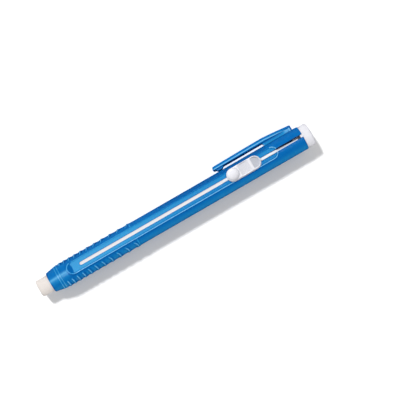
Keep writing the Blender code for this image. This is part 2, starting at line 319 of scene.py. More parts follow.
class Nodes:
    """Short calls for building a material's nodes."""

    def __init__(self, name):
        self.material = bpy.data.materials.new(name)
        self.material.use_nodes = True
        self.tree = self.material.node_tree
        self.shader = self.tree.nodes["Principled BSDF"]

    def add(self, kind, **settings):
        node = self.tree.nodes.new(kind)
        for key, value in settings.items():
            setattr(node, key, value)
        return node

    def link(self, source, target):
        self.tree.links.new(source, target)

    def attribute(self, name, output="Fac"):
        return self.add("ShaderNodeAttribute", attribute_name=name).outputs[output]

    def noise(self, scale, detail=2.0, stretch=(1.0, 1.0, 1.0)):
        mapping = self.add("ShaderNodeMapping")
        mapping.inputs["Scale"].default_value = stretch
        self.link(self.attribute("pen", "Vector"), mapping.inputs["Vector"])
        node = self.add("ShaderNodeTexNoise")
        node.inputs["Scale"].default_value = scale
        node.inputs["Detail"].default_value = detail
        self.link(mapping.outputs["Vector"], node.inputs["Vector"])
        return node.outputs["Fac"]

    def remap(self, value, low, high, to_low, to_high):
        node = self.add("ShaderNodeMapRange")
        ends = {"From Min": low, "From Max": high, "To Min": to_low, "To Max": to_high}
        for name, number in ends.items():
            node.inputs[name].default_value = number
        self.link(value, node.inputs["Value"])
        return node.outputs["Result"]

    def mix(self, share, first, second):
        """A colour between two; each is a colour or a socket."""
        node = self.add("ShaderNodeMix", data_type="RGBA")
        for socket, value in zip((node.inputs[0], node.inputs[6], node.inputs[7]), (share, first, second)):
            if isinstance(value, bpy.types.NodeSocket):
                self.link(value, socket)
            else:
                socket.default_value = (*value, 1.0)
        return node.outputs[2]

    def relief(self, height, distance):
        node = self.add("ShaderNodeBump")
        node.inputs["Distance"].default_value = distance * MM
        self.link(height, node.inputs["Height"])
        return node.outputs["Normal"]

    def set(self, **values):
        for name, value in values.items():
            socket = self.shader.inputs[name.replace("_", " ")]
            if isinstance(value, bpy.types.NodeSocket):
                self.link(value, socket)
            else:
                socket.default_value = value
        return self.material


def blue_plastic():
    """Glossy tinted moulding: painted shade below tint 0, lighter over the white stick and in painted
    highlights.
    """
    n = Nodes("blue_plastic_look")
    tint = n.attribute("tint")
    cloud = n.remap(n.noise(0.9, 3.0, (0.35, 1.0, 1.0)), 0.35, 0.65, 0.0, 1.0)
    mottle = n.remap(n.noise(5.5, 4.0), 0.35, 0.65, 0.0, 1.0)
    plain = n.mix(cloud, (0.0, 0.132, 0.44), (0.0, 0.152, 0.48))
    # lighter blue over the white stick and for painted highlights, paler for the strongest, deep blue for
    # painted shade
    light = n.mix(mottle, (0.004, 0.265, 0.6), (0.02, 0.325, 0.67))
    painted_shade = n.remap(tint, -1.0, 0.0, 1.0, 0.0)
    painted_highlight = n.remap(tint, 1.0, 2.0, 0.0, 1.0)
    colour = n.mix(tint, n.mix(painted_shade, plain, (0.0, 0.035, 0.2)), n.mix(painted_highlight, light, (0.2, 0.52, 0.85)))
    rough = n.remap(n.noise(7.0, 4.0), 0.3, 0.7, 0.18, 0.27)
    rougher_floor = n.remap(tint, 0.6, 0.8, 0.0, 0.22)
    total = n.add("ShaderNodeMath", operation="ADD")
    n.link(rough, total.inputs[0])
    n.link(rougher_floor, total.inputs[1])
    ripple = n.relief(n.noise(9.0, 5.0), 0.012)
    return n.set(Base_Color=colour, Roughness=total.outputs[0], Normal=ripple, Specular_IOR_Level=0.22)


def white_plastic(name, colour, shade):
    """Satin white moulding: painted grey shade where tint is over 0, and painted blue shade where it is under
    0.
    """
    n = Nodes(name)
    clean = n.mix(n.remap(n.noise(1.1, 3.0), 0.35, 0.65, 0.0, 1.0), colour, shade)
    tint = n.attribute("tint")
    painted_shade = n.mix(n.remap(tint, -1.0, 0.0, 1.0, 0.0), clean, (0.05, 0.09, 0.2))
    base = n.mix(tint, painted_shade, (0.5, 0.52, 0.58))
    rough = n.remap(n.noise(8.0, 4.0), 0.3, 0.7, 0.28, 0.4)
    ripple = n.relief(n.noise(12.0, 4.0), 0.008)
    return n.set(Base_Color=base, Roughness=rough, Normal=ripple)


def eraser_vinyl():
    """Soft vinyl: a fine dry grain, faint handling marks, a rubbed tip, and lighter inside the barrel."""
    n = Nodes("eraser_vinyl_look")
    tint = n.attribute("tint")
    used = n.mix(n.remap(n.noise(2.2, 5.0), 0.35, 0.7, 0.0, 1.0), (0.84, 0.78, 0.735), (0.8, 0.74, 0.7))
    base = n.mix(n.remap(tint, -1.0, 0.0, 1.0, 0.0), used, (0.94, 0.89, 0.875))
    rubbed = n.mix(tint, base, (0.7, 0.66, 0.63))
    grain = n.relief(n.noise(16.0, 6.0), 0.03)
    return n.set(Base_Color=rubbed, Roughness=0.62, Normal=grain)


# ---------------------------------------------------------------- barrel


def outer_radius(x):
    """The barrel's radius along X without its ribs: nose cone, two thin rings and one after the grip."""
    cone = NOSE_R + (BARREL_R - NOSE_R) * min(x / CONE_END, 1.0)
    return cone + bumps(x, *RINGS)


def rib_reach(from_slot):
    """1 where the ribs are whole, falling to 0 towards the pocket and towards the back."""
    rise = smoothstep(RIB_START, RIB_START + RIB_RISE, from_slot)
    return rise * smoothstep(RIB_END, RIB_END - RIB_FALL, from_slot)


def from_crest(x, from_slot):
    """Distance along X from the nearest rib's crest, whose upper end curves towards the nose."""
    sweep = RIB_SWEEP[0] + RIB_SWEEP[1] * (x - RIB_PLACES[0])
    lean = max(0.0, (RIB_MIDDLE - from_slot) / (RIB_MIDDLE - RIB_START))
    past = max(0.0, (from_slot - RIB_MIDDLE) / (RIB_END - RIB_MIDDLE))
    shifted = x + sweep * (corner_drop(1.0 - lean, 1.0) + RIB_TAIL * past * past)
    return min((shifted - place for place in RIB_PLACES), key=abs)


def rib_relief(x, degrees):
    """Height of the grip ribs: sharp crests, steeper towards the nose."""
    reach = rib_reach(abs(degrees))
    if reach == 0.0 or not GRIP[0] < x < GRIP[1]:
        return 0.0
    off = from_crest(x, abs(degrees))
    crest = bump(off, 0.0, RIB_CREST)
    skirt = bump(off, 0.0, RIB_SKIRTS[0] if off < 0.0 else RIB_SKIRTS[1])
    return RIB_HEIGHT * reach * (crest + skirt) / 2


def from_middle(x, y):
    """Distance from the pocket's middle line, which makes its ends round."""
    front = POCKET_ENDS[0] + POCKET_HALF_WIDTH
    rear = POCKET_ENDS[1] - POCKET_HALF_WIDTH
    return math.hypot(x - min(max(x, front), rear), y)


def ramp_end(y):
    """Where the pocket's front ramp meets its floor: a shallow curve, hollow towards the rear."""
    return RAMP_END - RAMP_HOLLOW * (y / FLOOR_HALF_WIDTH) ** 2


def surface_height(x, y):
    """Height of the barrel's top, with the pocket, its sloping sides and its front ramp."""
    radius = outer_radius(x)
    round_top = math.sqrt(radius * radius - y * y)
    away = from_middle(x, y)
    ramp = smoothstep(ramp_end(y), RAMP_TOP, x)
    floor = min(POCKET_FLOOR + (BARREL_R - POCKET_FLOOR) * ramp, round_top)
    side = smoothstep(FLOOR_HALF_WIDTH, POCKET_HALF_WIDTH, away)
    return floor + (round_top - floor) * side + bumps(away, RIM)


def slot_columns():
    """Places across the slot, from its -Y edge to its +Y edge, closer together at the edges."""
    count = 8
    return [SLOT_HALF_WIDTH * math.sin(math.pi * (i / count - 0.5)) for i in range(count + 1)]


def slot_warp(x, y):
    """Moves the rows before the slot so that the last of them is its round front."""
    reach = min(abs(y) / SLOT_HALF_WIDTH, 1.0)
    bulge = SLOT_HALF_WIDTH * math.sqrt(1.0 - reach * reach)
    return x - bulge * min(max((x - WARP_START) / (SLOT_START - WARP_START), 0.0), 1.0)


def outer_rows():
    """Places of the outside's rows, closer where the shape turns, and the number of the slot's first row."""
    xs = [0.0, 0.05, NOSE_LIP, 0.25, 0.5, *spaced(1.0, 3.0, 0.5), *spaced(3.0, 5.2, 0.11)]
    xs += [*spaced(5.2, 12.3, 0.16), *spaced(12.3, SLOT_START, 0.15)]
    front = len(xs)
    xs += [*spaced(SLOT_START, 37.8, 0.2), *spaced(37.8, 96.0, 2.2)]
    xs += [*spaced(96.0, 103.0, 0.16), *spaced(103.0, 111.9, 1.2)]
    return [*xs, 111.9, BARREL_END - REAR_LIP, 112.33, BARREL_END], front


def outer_columns():
    """Columns round the outside from the slot's +Y edge to its -Y edge: (y, None) or (None, degrees)."""
    top = [0.79, 0.95, 1.2, 1.5, 1.8, 1.95, *spaced(2.04, 2.7, 0.06), 2.7, 2.8, 2.9, 3.0]
    flank = [(None, degrees) for degrees in spaced(40.5, 321.0, 3.0)]
    plus = [(y, None) for y in top]
    minus = [(-y, None) for y in reversed(top)]
    return plus + flank + minus


def outer_point(x, column):
    y, degrees = column
    lip = corner_drop(x, NOSE_LIP) + corner_drop(BARREL_END - x, REAR_LIP)
    if degrees is None:
        share = (outer_radius(x) - lip) / BARREL_R
        y *= min(share, 1.0)
        return (x, y, surface_height(x, y) - lip)
    turned = degrees if degrees <= 180.0 else degrees - 360.0
    radius = outer_radius(x) - lip + rib_relief(x, turned)
    angle = math.radians(degrees)
    return (x, radius * math.sin(angle), radius * math.cos(angle))


def outer_loops(bm, xs, front, columns):
    """The outside's vertices, with the slot's edges a little lower."""
    loops = []
    for i, x in enumerate(xs):
        row = []
        for column in columns:
            y = column[0]
            bends = y is not None and WARP_START < x <= xs[front] + 1e-6
            point = outer_point(slot_warp(x, y) if bends else x, column)
            at_slot = i >= front and y is not None and abs(y) <= SLOT_HALF_WIDTH
            chamfer = SLOT_CHAMFER if at_slot else 0.0
            row.append(bm.verts.new((point[0], point[1], point[2] - chamfer)))
        loops.append(row)
    return loops


def inner_columns():
    """Columns round the bore from the slot's +Y edge to its -Y edge: (y, None) or (None, degrees)."""
    corner = math.degrees(math.acos(BORE_CEILING / BORE_R))
    flat = [(y, None) for y in (1.1, 1.6)]
    back = [(-y, None) for y in (1.6, 1.1)]
    step = 6.8
    return flat + [(None, degrees) for degrees in spaced(corner, 360.0 - corner + 7.0, step)] + back


def inner_point(x, column, nose):
    """A point of the bore: round in the nose, flat-topped behind it."""
    y, degrees = column
    if degrees is None:
        return (x, y, math.sqrt(NOSE_BORE_R**2 - y * y) if nose else BORE_CEILING)
    radius = NOSE_BORE_R if nose else BORE_R
    angle = math.radians(degrees)
    z = radius * math.cos(angle)
    return (x, radius * math.sin(angle), z if nose else min(z, BORE_CEILING))


def inner_loops(bm, slot_xs, columns):
    """The bore's vertices, flared at the nose, and the number of the slot's first row."""
    flare_depth = 0.2
    flare = 0.03
    rows = [(x, True) for x in (0.0, flare_depth, NOSE_BORE_END)]
    rows += [(x, False) for x in (NOSE_BORE_END + 0.02, 9.5)]
    front = len(rows)
    rows += [(x, False) for x in slot_xs]
    loops = []
    for i, (x, nose) in enumerate(rows):
        widen = 1.0 + flare * max(0.0, 1.0 - x / flare_depth)
        row = []
        for column in columns:
            bends = i == front and column[0] is not None
            point = inner_point(slot_warp(x, column[0]) if bends else x, column, nose)
            row.append(bm.verts.new((point[0], point[1] * widen, point[2] * widen)))
        loops.append(row)
    return loops, front


def barrel_mesh():
    """A tube with two walls, joined at the nose, at the rear and round the slot."""
    bm = bmesh.new()
    xs, front = outer_rows()
    across_slot = [(y, None) for y in slot_columns()]
    outer = outer_loops(bm, xs, front, across_slot + outer_columns())
    inner, inner_front = inner_loops(bm, xs[front:], across_slot + inner_columns())
    open_cells = len(across_slot) - 1
    for loops, opened_at in ((outer, front), (inner, inner_front)):
        for i, (first, second) in enumerate(zip(loops, loops[1:])):
            for j in range(open_cells if i >= opened_at else 0, len(first)):
                k = (j + 1) % len(first)
                bm.faces.new((first[j], first[k], second[k], second[j]))
    outside = outer[front:]
    inside = inner[inner_front:]
    for a, b, c, d in zip(outside, outside[1:], inside, inside[1:]):
        for j in (0, open_cells):
            bm.faces.new((a[j], b[j], d[j], c[j]))
    for j in range(open_cells):
        bm.faces.new((outside[0][j], outside[0][j + 1], inside[0][j + 1], inside[0][j]))
    close_ring(bm, outer[0], inner[0])
    rear_outside, rear_inside = (row[open_cells:] + row[:1] for row in (outer[-1], inner[-1]))
    close_ring(bm, rear_outside, rear_inside, wrap=False)
    return bm


def close_ring(bm, outside, inside, wrap=True):
    """Faces between two loops with different numbers of points, walking both by their angle."""

    def turn(vert):
        angle = math.atan2(vert.co.y, vert.co.z)
        return angle if angle > -1e-9 else angle + 2.0 * math.pi

    def next_turn(loop, i):
        if i == len(loop) - 1:
            return math.inf
        return turn(loop[i + 1]) + (2.0 * math.pi if wrap and i == len(loop) - 2 else 0.0)

    if wrap:
        outside = sorted(outside, key=turn)
        inside = sorted(inside, key=turn)
        outside, inside = [*outside, outside[0]], [*inside, inside[0]]
    i = j = 0
    while i < len(outside) - 1 or j < len(inside) - 1:
        if next_turn(outside, i) <= next_turn(inside, j):
            bm.faces.new((outside[i], outside[i + 1], inside[j]))
            i += 1
        else:
            bm.faces.new((outside[i], inside[j + 1], inside[j]))
            j += 1


# Painted highlights and painted shade of the tinted plastic, and a slightly lighter nose. Three numbers
# are a bump's height, centre and width, and two are the places where a smoothstep starts and ends.
RING_HIGHLIGHTS = ((1.3, 3.8, 0.12), (1.35, 4.8, 0.12), (1.3, 37.3, 0.14))
RIB_SHADES = ((-0.6, 0.62, 0.4), (-0.3, -0.5, 0.3))
RIB_TINTED = (5.2, 38.0)  # the stretch along X that they tint
RIB_HIGHLIGHT = 1.4
RIB_HOOK = 0.6  # how much lighter a rib's upper end is
NOSE_HIGHLIGHTS = ((1.2, -0.3, 0.6), (0.35, -1.5, 1.0))
NOSE_TINT = 0.08
NOSE_FADE = (8.4, 7.4)
WEB_SHADE = (-0.65, 65.0, 8.0)
WEB_SHADE_RISE = (WEB_FRONT - 1.0, WEB_FRONT + 3.0)
WEB_SHADE_FALL = (CLIP_REAR + 0.4, CLIP_REAR - 1.0)
LOWER_FLANK_PAINTED_LIGHT = 0.45
UPPER_FLANK_SHADE = -0.3
SLOT_SHADE = (-0.7, SLOT_HALF_WIDTH, 0.16)
GAP_SHADE = (-0.4, SLOT_HALF_WIDTH, 0.2)
GAP_RISE = (100.0, 102.0)
RIM_PLACE = POCKET_HALF_WIDTH - 0.1
RIM_HIGHLIGHT = 2.6
RAMP_RIM_HIGHLIGHT = 1.6
UPPER_RIM_HIGHLIGHT = 0.15
WALL_SHADE = (-0.4, POCKET_HALF_WIDTH - 0.38, 0.12)
RAMP_SHADE = -0.1
BESIDE_SHADE = (-0.6, POCKET_HALF_WIDTH + 0.25, 0.2)
BORE_SHADE = -0.5


def rib_tint(x, from_slot):
    """Painted highlight along a rib's crest, painted shade before and behind it."""
    if not RIB_TINTED[0] < x < RIB_TINTED[1]:
        return 0.0
    off = from_crest(x, from_slot)
    hook = RIB_HOOK * smoothstep(RIB_MIDDLE, RIB_START + RIB_RISE, from_slot)
    return rib_reach(from_slot) * ((RIB_HIGHLIGHT + hook) * bump(off, 0.0, 0.21) + bumps(off, *RIB_SHADES))


def outside_tint(x, y, z):
    """Outside the pocket: painted highlights at the nose, rings, ribs and lower flank, painted shade above
    and by the web.
    """
    from_slot = math.degrees(math.acos(max(-1.0, min(1.0, z / math.hypot(y, z)))))
    nose = NOSE_TINT
    root = high = 0.0
    if z > 0.0:
        nose += bumps(y, *NOSE_HIGHLIGHTS)
        behind_grip = smoothstep(40.0, 60.0, x) * smoothstep(99.0, 95.0, x)
        high = UPPER_FLANK_SHADE * smoothstep(2.3, 2.8, y) * behind_grip
    if y > 0.0:
        root = bumps(from_slot, WEB_SHADE) * smoothstep(*WEB_SHADE_RISE, x) * smoothstep(*WEB_SHADE_FALL, x)
    low = LOWER_FLANK_PAINTED_LIGHT * smoothstep(-2.9, -4.4, y) * smoothstep(-1.5, 1.0, z)
    nose *= smoothstep(*NOSE_FADE, x)
    return nose + bumps(x, *RING_HIGHLIGHTS) + rib_tint(x, from_slot) + root + low + high


def floor_tint(x, y, away, along):
    """The pocket's floor, lightest near the nose, with a painted shade edge round the slot."""
    reach = FLOOR_HALF_WIDTH
    fading = 0.38 * smoothstep(25.0, 80.0, x)
    if y > 0.0 and 10.8 < x < 99.0:
        reach += 0.4 - 0.22 * smoothstep(35.0, 60.0, x)
    if y < 0.0:
        fading += 0.2 * smoothstep(25.0, 45.0, x)
    edge = bumps(math.hypot(y, max(0.0, SLOT_START - x)), SLOT_SHADE)
    return along * smoothstep(reach + 0.13, reach - 0.02, away) * (1.0 - fading) * (1.0 + edge)


def barrel_tint(x, y, z):
    """The tint: 1 over the white stick, more in painted highlights at rims and crests, under 0 in painted
    shade.
    """
    # inside the bore: painted shade
    if math.hypot(y, z) < BORE_R + 0.02 and z < POCKET_FLOOR - 0.1:
        return BORE_SHADE
    away = from_middle(x, y)
    outside = outside_tint(x, y, z)
    if z < 2.5 or (away > POCKET_HALF_WIDTH + 0.75 and x < GAP_RISE[0]):
        return outside
    along = smoothstep(ramp_end(y) - 0.25, ramp_end(y) + 0.15, x)
    inside = floor_tint(x, y, away, along)
    inside += bumps(y, GAP_SHADE) * smoothstep(*GAP_RISE, x)
    inside += RAMP_SHADE * (1.0 - along) * smoothstep(POCKET_HALF_WIDTH, POCKET_HALF_WIDTH - 0.3, away)
    rim = UPPER_RIM_HIGHLIGHT
    if y < 0.5 or x > 99.0 or x < ramp_end(y):
        rim = RIM_HIGHLIGHT if x > RAMP_END else RAMP_RIM_HIGHLIGHT
        inside += bumps(away, WALL_SHADE)
    inside += rim * bump(away, RIM_PLACE, 0.19)
    if y < 0.0:
        inside += bumps(away, BESIDE_SHADE)
    return inside + outside * smoothstep(POCKET_HALF_WIDTH - 0.1, POCKET_HALF_WIDTH + 0.2, away)


def make_barrel(material):
    barrel = make_object(barrel_mesh(), "barrel_shell", material)
    add_tint(barrel, barrel_tint)
    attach(barrel, "holder")
    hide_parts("barrel")


# ---------------------------------------------------------------- clip

# Painted highlights and painted shade of the clip, over a slightly lighter strap
STRAP_TINT = 0.22
STRAP_HIGHLIGHT = (2.35, -1.15, 0.17)  # its centre is measured from the strap's top
STRAP_TOP_SHADE = -0.3
STRAP_SHADE = (-0.8, CLIP_INNER + 0.08, 0.19)
WEB_PAINTED_LIGHT = 1.25
WEB_FRONT_HIGHLIGHT = (1.1, WEB_FRONT + 0.42, 0.2)
FOOT_TINT = 0.1
END_HIGHLIGHT = (1.9, CLIP_REAR - 0.85, 0.19)
END_SHADE = -0.5
ROOT_SHADE = -0.6


def between(points, x):
    """The value at x on a line through (x, value) points."""
    for (x0, v0), (x1, v1) in zip(points, points[1:]):
        if x <= x1:
            return v0 + (v1 - v0) * max(0.0, (x - x0) / (x1 - x0))
    return points[-1][1]


def strap_side(inner, top, width):
    """Half the strap's outline from its underside to its top, as (y, z), with round edges."""
    radius = min(STRAP_CORNER, (top - inner) / 2 - 1e-3)
    straight = top - inner - 2.0 * radius
    side = []
    for angle in quarter(6):
        side.append((inner + radius - radius * math.cos(angle), width - radius + radius * math.sin(angle)))
    side += [(inner + radius + straight * share, width) for share in (0.2, 0.4, 0.6, 0.8)]
    for angle in quarter(6):
        side.append((top - radius + radius * math.sin(angle), width - radius + radius * math.cos(angle)))
    return [*side, (top, width * 0.35), (top, 0.0)]


def below_strap(inner, depth, half):
    """Half the outline of the web or the foot, which stand under the strap with soft edges."""
    low = inner - depth
    soft = min(WEB_CORNER, depth / 2)
    side = [(low, 0.0), (low, half * 0.5), (low, half - soft)]
    side += [(low + soft * 0.3, half - soft * 0.3), (low + soft, half)]
    return [*side, (inner - soft * 0.9, half), (inner - soft * 0.25, half + 0.04), (inner, half + 0.14)]


def clip_section(x):
    """The clip's outline across the pen: the rounded strap, with the web or the foot under it."""
    top = between(CLIP_TOP, x)
    middle = (top + CLIP_INNER) / 2
    into = x - CLIP_FRONT
    pinch = 1.0 - corner_drop(into / CLIP_NOSE, 1.0)
    top = middle + (top - middle) * pinch - corner_drop(CLIP_REAR - x, REAR_CORNERS[0])
    inner = middle + (CLIP_INNER - middle) * pinch
    width = CLIP_HALF_WIDTH * (1.0 - CLIP_TAPER * corner_drop(into, 1.0))
    width -= corner_drop(CLIP_REAR - x, REAR_CORNERS[1])
    if x < CLIP_MIDDLE:
        depth = (inner - FOOT_UNDERSIDE) * smoothstep(*FOOT_RISE, x) * smoothstep(*FOOT_FALL, x)
        half = FOOT_HALF_WIDTH
    else:
        depth = (inner - WEB_ROOT) * smoothstep(WEB_FRONT + WEB_FILLET[0], WEB_FRONT + WEB_FILLET[1], x)
        wall = smoothstep(END_WALL - 0.1, END_WALL + 0.1, x)
        half = WEB_HALF_WIDTH + (END_WALL_HALF_WIDTH - WEB_HALF_WIDTH) * wall
    side = below_strap(inner, depth, half) + strap_side(inner, top, width)
    other = [(y, -z) for y, z in side[-2:0:-1]]
    return [(x, y, z) for y, z in side + other]


def clip_tint(x, y, z):
    """Painted highlights along the strap's sides and rear end, painted shade under it, and a web painted
    lighter.
    """
    top = between(CLIP_TOP, x)
    along = bumps(y - top, STRAP_HIGHLIGHT) * smoothstep(0.8, 1.2, abs(z))
    along += STRAP_TOP_SHADE * smoothstep(top - 0.5, top - 0.2, y)
    web = smoothstep(WEB_FRONT - 0.1, WEB_FRONT + 0.3, x)
    under = bumps(y, STRAP_SHADE) * (1.0 - 0.2 * web)
    below = smoothstep(CLIP_INNER - 0.12, CLIP_INNER - 0.27, y)
    foot = below * (WEB_PAINTED_LIGHT * web + FOOT_TINT + bumps(x, WEB_FRONT_HIGHLIGHT))
    past = smoothstep(CLIP_REAR - 0.7, CLIP_REAR - 0.45, x)
    end = bumps(x, END_HIGHLIGHT) * smoothstep(top - 0.7, top - 0.9, y) + END_SHADE * past
    root = ROOT_SHADE * smoothstep(4.65, 4.5, y)
    return STRAP_TINT * (1.0 - below) + (along + under + foot) * (1.0 - past) + end + root


def make_clip(material):
    bm = bmesh.new()
    xs = [CLIP_FRONT + r for r in (0.005, 0.03, 0.08, 0.16, 0.28, 0.42, 0.55, CLIP_NOSE, 0.8, 1.0)]
    xs += [*spaced(77.1, 81.0, 0.13), *spaced(81.0, 97.2, 0.5), *spaced(97.2, 98.8, 0.08)]
    xs += [*spaced(98.8, 108.8, 0.6), *spaced(108.8, 109.9, 0.08)]
    xs += [CLIP_REAR - r for r in (0.5, 0.4, 0.3, 0.2, 0.12, 0.06, 0.02, 0.0)]
    add_body(bm, [clip_section(x) for x in xs])
    clip = make_object(bm, "clip_strap", material, 40.0)
    add_tint(clip, clip_tint)
    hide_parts("pocket_clip")
    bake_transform(clip)


# ---------------------------------------------------------------- end cap


def plug_section(x, radius, bore, steps=48):
    """The plug's outline across the pen: a ring with a flat top, open where the carriage's key runs."""
    points = []
    for reach, first, last in ((radius, 0, steps), (bore, steps, 0)):
        edge = math.asin(PLUG_NOTCH / reach)
        for i in range(steps + 1):
            share = (first + (last - first) * i / steps) / steps
            turn = edge + (2.0 * math.pi - 2.0 * edge) * share
            points.append((x, reach * math.sin(turn), min(reach * math.cos(turn), PLUG_TOP)))
    return points


def cap_profile():
    """The cap's outline from its front edge over the round corner to its crowned end, as (x, radius)."""
    profile = [(CAP_FRONT, CAP_R - 0.15), (CAP_FRONT + 0.04, CAP_R - 0.05), (CAP_FRONT + 0.15, CAP_R)]
    face_r = CAP_R - CAP_CORNER
    corner_x = CAP_END - CAP_CROWN - CAP_CORNER
    for angle in quarter(8):
        turn = 0.93 * angle
        profile.append((corner_x + CAP_CORNER * math.sin(turn), face_r + CAP_CORNER * math.cos(turn)))
    for share in (0.8, 0.6, 0.47, 0.4, 0.2, 0.05):
        profile.append((CAP_END - CAP_CROWN * smoothstep(0.35, 1.0, share) ** 1.2, face_r * share))
    return profile


def cap_tint(x, y, z):
    """A little shade round the cap's rear corner, and more on the plug where the slot shows it."""
    corner = 0.4 * bump(x, CAP_END - 0.45, 0.28) * smoothstep(CAP_R - 1.0, CAP_R - 0.5, math.hypot(y, z))
    seen = 1.0 if z > 0.0 and abs(y) < 1.1 else 0.0
    return corner + seen * smoothstep(111.5, 111.2, x)


def make_cap(material):
    bm = bmesh.new()
    lathe(bm, cap_profile(), 96)
    joined = CAP_FRONT + 0.3
    ends = [(PLUG_FRONT, 0.2, 0.15), (PLUG_FRONT + 0.1, 0.05, 0.05)]
    ends += [(PLUG_FRONT + 0.3, 0.0, 0.0), (joined, 0.0, 0.0)]
    add_body(bm, [plug_section(x, PLUG_R - outer, PLUG_BORE_R + inner) for x, outer, inner in ends])
    soft_block(bm, (111.5, joined), (-0.55, 0.55), (PLUG_BORE_R, 4.55), 0.1)
    cap = make_object(bm, "end_cap_shell", material)
    add_tint(cap, cap_tint)
    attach(cap, "cap")
    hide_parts("end_cap")


# ---------------------------------------------------------------- thumb slide


def slide_height(x, y, to_edge):
    """Height of the slide's top: ribbed dish, cross bar and scoop inside a rounded rim."""
    rim = SLIDE_RIM - corner_drop(to_edge, SLIDE_CORNER)
    across = smoothstep(SLIDE_HALF_WIDTH - 0.2, SLIDE_HALF_WIDTH - 0.5, abs(y))
    middle = (DISH[0] + DISH[1]) / 2
    half = (DISH[1] - DISH[0]) / 2
    place = abs(x - middle) / half
    dish = 0.0
    if place < 1.0:
        wave = math.cos(2.0 * math.pi * (x - DISH[0]) / RIDGE_PITCH)
        ridges = RIDGE_HEIGHT * wave * smoothstep(1.0, 0.85, place) * smoothstep(2.1, 1.6, abs(y))
        dish = max(0.0, DISH_DEPTH * (1.0 - place * place) ** 0.7 - ridges)
    slope = SCOOP_DEPTH + SCOOP_SLOPE * (x - SCOOP[0])
    scoop = slope * smoothstep(0.32, 0.62, to_edge) * smoothstep(SCOOP[0] - 0.12, SCOOP[0] + 0.12, x)
    return rim - max(dish * across, scoop)


def slide_tint(x, y, z):
    """The dome's foot, the dish's fine ribs and the scoop hold a little more shade."""
    dome = math.hypot(x - DOME_CENTRE, y)
    if dome < DOME_R + 0.06 and z > SLIDE_RIM - 0.9:
        return 0.55 * smoothstep(DOME_R - 0.7, DOME_R, dome)
    if z < SLIDE_RIM - 1.0 or z > SLIDE_RIM - 0.03:
        return 0.0
    middle = min(max(x, SLIDE_CENTRES[0]), SLIDE_CENTRES[1])
    inside = smoothstep(0.35, 0.6, SLIDE_HALF_WIDTH - math.hypot(x - middle, y))
    dish = smoothstep(DISH[0] - 0.1, DISH[0] + 0.2, x) * smoothstep(DISH[1] + 0.1, DISH[1] - 0.2, x)
    return inside * (0.28 * dish + 0.85 * smoothstep(SCOOP[0] - 0.15, SCOOP[0] + 0.1, x))


def slide_outline():
    """Round the slide, as points of its middle line and the directions out from them: (x, to x, to y)."""
    front, rear = SLIDE_CENTRES
    side = spaced(front, rear, 0.11)
    turns = [math.pi * i / 28 for i in range(28)]
    outline = [(x, 0.0, 1.0) for x in side]
    outline += [(rear, math.sin(a), math.cos(a)) for a in turns]
    outline += [(x, 0.0, -1.0) for x in reversed([*side[1:], rear])]
    return outline + [(front, -math.sin(a), -math.cos(a)) for a in turns]


def add_slide_plate(bm, outline):
    """The button's plate: its side wall, its shaped top and its flat underside."""
    under = ((SLIDE_UNDERSIDE, 0.15), (SLIDE_UNDERSIDE + 0.04, 0.05), (SLIDE_UNDERSIDE + 0.15, 0.0))
    insets = [0.0, 0.02, 0.06, 0.12, 0.2, 0.3, SLIDE_CORNER, *spaced(0.55, SLIDE_HALF_WIDTH, 0.105)]
    rows = []
    for z, inset in under:
        radius = SLIDE_HALF_WIDTH - inset
        rows.append([(x + to_x * radius, to_y * radius, z) for x, to_x, to_y in outline])
    for inset in (*insets, SLIDE_HALF_WIDTH - 1e-5):
        radius = SLIDE_HALF_WIDTH - inset
        flat = [(x + to_x * radius, to_y * radius) for x, to_x, to_y in outline]
        rows.append([(x, y, slide_height(x, y, inset)) for x, y in flat])
    loops = skin(bm, rows)
    bm.faces.new(loops[0][::-1])


def add_skid(bm, outline):
    """The lower plate, which fills the gap to the pocket's floor."""
    rows = []
    for z, inset in ((4.1, 0.25), (4.14, 0.15), (4.5, 0.15)):
        radius = SKID_HALF_WIDTH - inset
        row = []
        for x, to_x, to_y in outline:
            middle = min(max(x, SKID[0] + SKID_HALF_WIDTH), SKID[1] - SKID_HALF_WIDTH)
            row.append((middle + to_x * radius, to_y * radius, z))
        rows.append(row)
    add_body(bm, rows)


def add_dome(bm):
    rise = DOME_TOP - SLIDE_RIM + 0.45
    rings = [(SLIDE_RIM - 0.6, DOME_R)]
    for angle in quarter(16):
        rings.append((DOME_TOP - rise + rise * math.sin(angle), max(DOME_R * math.cos(angle), 0.01)))
    turns = [2.0 * math.pi * i / 72 for i in range(72)]
    rows = []
    for z, radius in rings:
        rows.append([(DOME_CENTRE + radius * math.cos(a), radius * math.sin(a), z) for a in turns])
    add_body(bm, rows)


def make_slide(material):
    bm = bmesh.new()
    outline = slide_outline()
    add_slide_plate(bm, outline)
    add_skid(bm, outline)
    add_dome(bm)
    slide = make_object(bm, "thumb_slide_button", material, 50.0)
    add_tint(slide, slide_tint)
    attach(slide, "slider")
    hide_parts("thumb_slide")


# ---------------------------------------------------------------- eraser and carriage


def wear_tip(bm):
    """Rubs the eraser's tip a little uneven."""
    for vert in bm.verts:
        x, y, z = vert.co
        worn = smoothstep(ERASER_TIP + 1.9, ERASER_TIP + 0.1, x)
        wave = math.sin(1.9 * y + 0.7) * math.cos(1.6 * z - 0.4)
        pull = 1.0 - 0.008 * worn * (1.0 + math.sin(3.0 * math.atan2(y, z)))
        vert.co = (x + 0.05 * worn * (1.0 + wave), y * pull, z * pull)


def eraser_tint(x, y, z):
    """1 at the rubbed tip, 0 on the handled stretch and -1 inside the barrel."""
    return smoothstep(-4.5, -4.9, x) - smoothstep(-0.5, 8.0, x)


